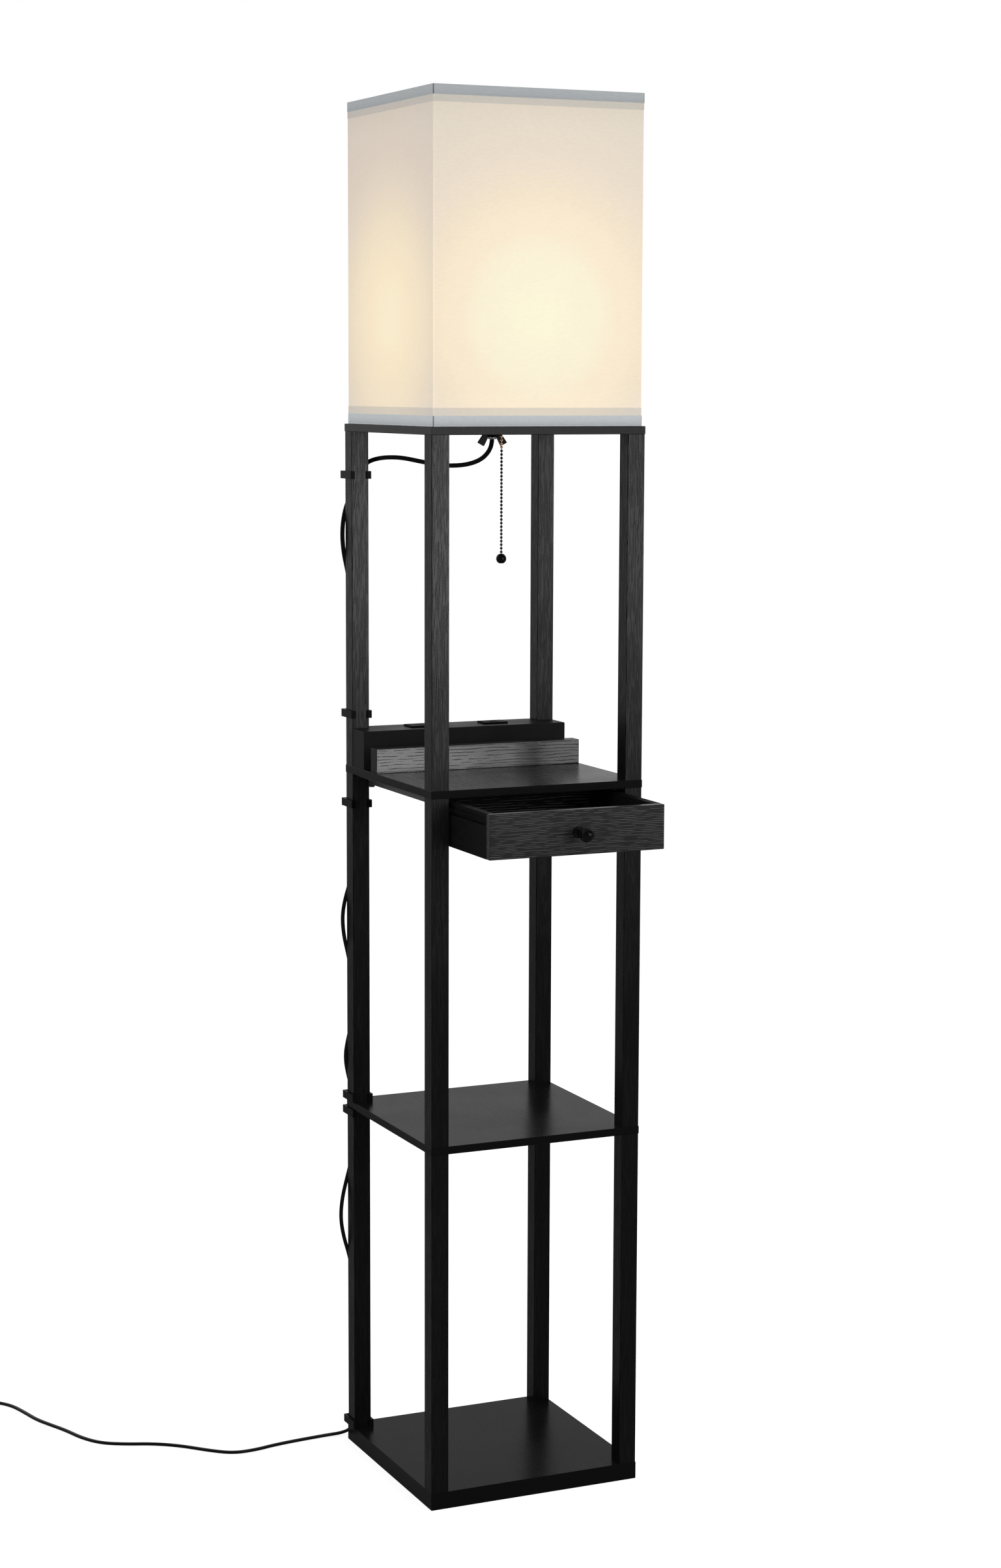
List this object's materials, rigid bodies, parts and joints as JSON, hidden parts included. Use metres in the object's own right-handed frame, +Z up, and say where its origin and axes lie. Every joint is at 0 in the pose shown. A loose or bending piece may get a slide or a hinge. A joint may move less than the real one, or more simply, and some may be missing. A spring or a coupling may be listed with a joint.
{
  "type": "shelf floor lamp",
  "caption": "Floor lamp built as an open shelf tower with a pull-out drawer, a charging box with a device slot, and a square fabric shade lit by a pull-chain lampholder",
  "frame": {"origin": "centre of the base board's underside, on the floor", "axes": "+Z up; -Y is the side the drawer opens to; +X is the viewer's right from the front"},
  "size_m": [0.7503, 0.7687, 1.59],
  "materials": {
    "black_laminate": "semi-gloss black wood-grain laminate on board",
    "black_wood": "black stain with open grain, semi-gloss",
    "bare_wood": "bare beech",
    "steel": "zinc plated",
    "brass": "satin",
    "nickel": "nickel plated",
    "copper_chain": "copper plated",
    "black_metal": "black nickel, glossy",
    "black_runner": "satin black plastic",
    "black_plastic": "matte black plastic",
    "black_gloss": "glossy black",
    "circuit_board": "green solder mask",
    "frosted_glass": "frosted inside",
    "cream_fabric": "off-white polycotton over a clear backing",
    "white_wire": "white paint on wire",
    "black_cord": "satin black vinyl"
  },
  "bodies": {
    "frame": {"base_board": "black_laminate", "middle_shelf": "black_laminate", "drawer_shelf": "black_laminate", "top_board": "black_laminate", "lower_post_front_left": "black_wood", "lower_post_front_right": "black_wood", "lower_post_rear_left": "black_wood", "lower_post_rear_right": "black_wood", "middle_post_front_left": "black_wood", "middle_post_front_right": "black_wood", "middle_post_rear_left": "black_wood", "middle_post_rear_right": "black_wood", "upper_post_front_left": "black_wood", "upper_post_front_right": "black_wood", "upper_post_rear_left": "black_wood", "upper_post_rear_right": "black_wood", "post_screws": "steel", "shelf_studs": "steel", "post_inserts": "steel", "runner_screws": "steel", "shelf_screws": "steel", "threaded_nipple": "steel", "outlet_contacts": "brass", "left_runner": "black_runner", "right_runner": "black_runner", "charger_housing": "black_plastic", "charger_base": "black_plastic", "outlet_module": "black_gloss", "usb_module": "black_gloss", "usb_board": "circuit_board", "stand_bar": "black_laminate", "wing_nut": "black_metal", "socket_cap": "brass", "socket_shell": "brass", "socket_body": "black_gloss", "socket_contacts": "brass", "bulb_cap": "nickel", "bulb_globe": "frosted_glass", "shade_fabric": "cream_fabric", "shade_frame": "white_wire", "cable_clips": "black_gloss", "lamp_cord": "black_cord", "mains_cord": "black_cord", "cord_coil": "black_cord", "mains_strain_relief": "black_cord", "lamp_lead_grommet": "black_cord", "mains_plug": "black_cord", "plug_blades": "nickel"},
    "drawer": {"drawer_front": "black_laminate", "drawer_left_side": "black_laminate", "drawer_right_side": "black_laminate", "drawer_back": "black_laminate", "drawer_bottom": "black_laminate", "drawer_dowels": "bare_wood", "drawer_knob": "black_gloss", "knob_screw": "steel"},
    "pull_switch": {"switch_plunger": "black_plastic", "upper_pull_chain": "copper_chain"},
    "pull_chain": {"lower_pull_chain": "black_metal", "pull_ball": "black_gloss"}
  },
  "joints": [
    {"name": "drawer_slide", "type": "slide", "parent": "frame", "child": "drawer", "axis": [0, 1, 0], "range_m": [-0.025, 0.1035]},
    {"name": "pull_switch_slide", "type": "slide", "parent": "frame", "child": "pull_switch", "axis": [0, 0, -1], "range_m": [0, 0.007], "stiffness_N_per_m": 1500, "springref_m": -0.001},
    {"name": "chain_swing", "type": "hinge", "parent": "pull_switch", "child": "pull_chain", "pos_m": [0.0055, -0.014, 1.21415], "axis": [0, 1, 0], "range_deg": [-30, 30]}
  ]
}
